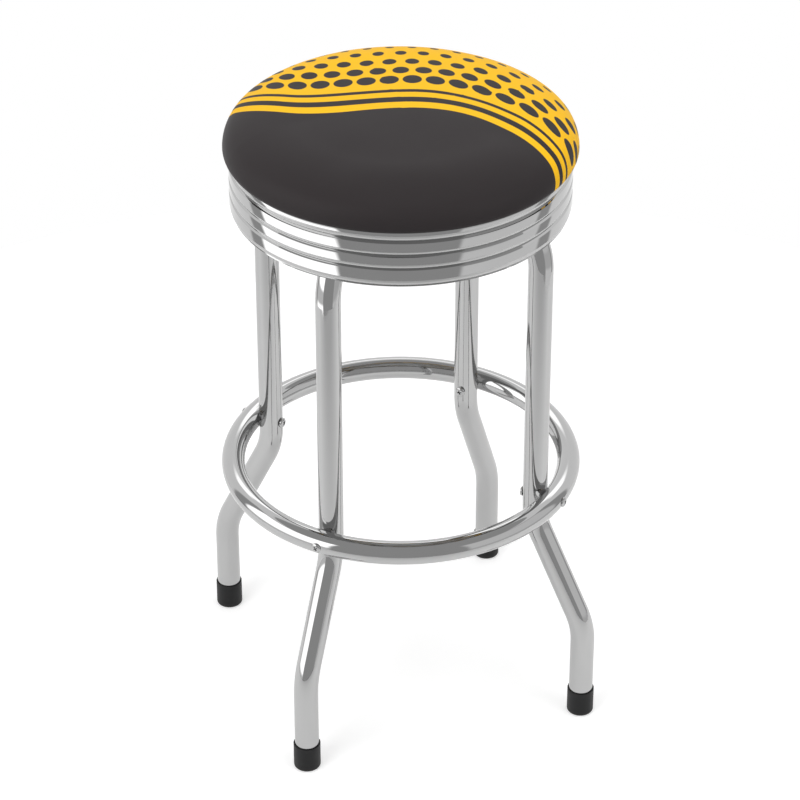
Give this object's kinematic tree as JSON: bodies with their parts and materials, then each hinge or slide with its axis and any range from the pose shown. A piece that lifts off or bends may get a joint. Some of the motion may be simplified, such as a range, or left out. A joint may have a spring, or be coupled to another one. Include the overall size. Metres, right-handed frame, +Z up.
{
  "type": "swivel stool",
  "caption": "Bar-height stool: a round padded seat in a ribbed chrome band turns on a ball-bearing swivel above bent tube legs and a foot ring.",
  "frame": {"origin": "on the floor under the centre of the stool, on the axis that the seat turns about", "axes": "+Z up along the turning axis; the four feet stand on the X and Y axes"},
  "size_m": [0.5182, 0.5182, 0.762],
  "materials": {
    "chrome": "polished chrome plate",
    "black_rubber": "moulded matt",
    "zinc_steel": "zinc plated",
    "ball_steel": "ground and polished",
    "plywood": "raw",
    "foam": "open cell foam",
    "printed_vinyl": "satin printed vinyl"
  },
  "bodies": {
    "base": {"leg_right": "chrome", "leg_rear": "chrome", "leg_left": "chrome", "leg_front": "chrome", "foot_ring": "chrome", "foot_cap_right": "black_rubber", "foot_cap_rear": "black_rubber", "foot_cap_left": "black_rubber", "foot_cap_front": "black_rubber", "ring_screws": "chrome", "ring_nuts": "chrome", "leg_bolts": "zinc_steel", "leg_nuts": "zinc_steel", "leg_washers": "zinc_steel", "swivel_lower_plate": "zinc_steel", "pivot_rivet": "zinc_steel"},
    "ball_set": {"balls": "ball_steel", "ball_cage": "zinc_steel"},
    "seat": {"bracket_screws": "zinc_steel", "rim_band": "chrome", "rim_brackets": "zinc_steel", "seat_board": "plywood", "seat_cover": "printed_vinyl", "seat_foam": "foam", "seat_screws": "zinc_steel", "swivel_upper_plate": "zinc_steel", "tee_nuts": "zinc_steel"}
  },
  "joints": [
    {"name": "seat_swivel", "type": "hinge", "parent": "base", "child": "seat", "pos_m": [0, 0, 0.68925], "axis": [0, 0, 1], "continuous": true},
    {"name": "ball_roll", "type": "hinge", "parent": "base", "child": "ball_set", "pos_m": [0, 0, 0.68925], "axis": [0, 0, 1], "continuous": true}
  ],
  "couplings": [
    {"joint": "ball_roll", "follows": "seat_swivel", "ratio": 0.5}
  ]
}
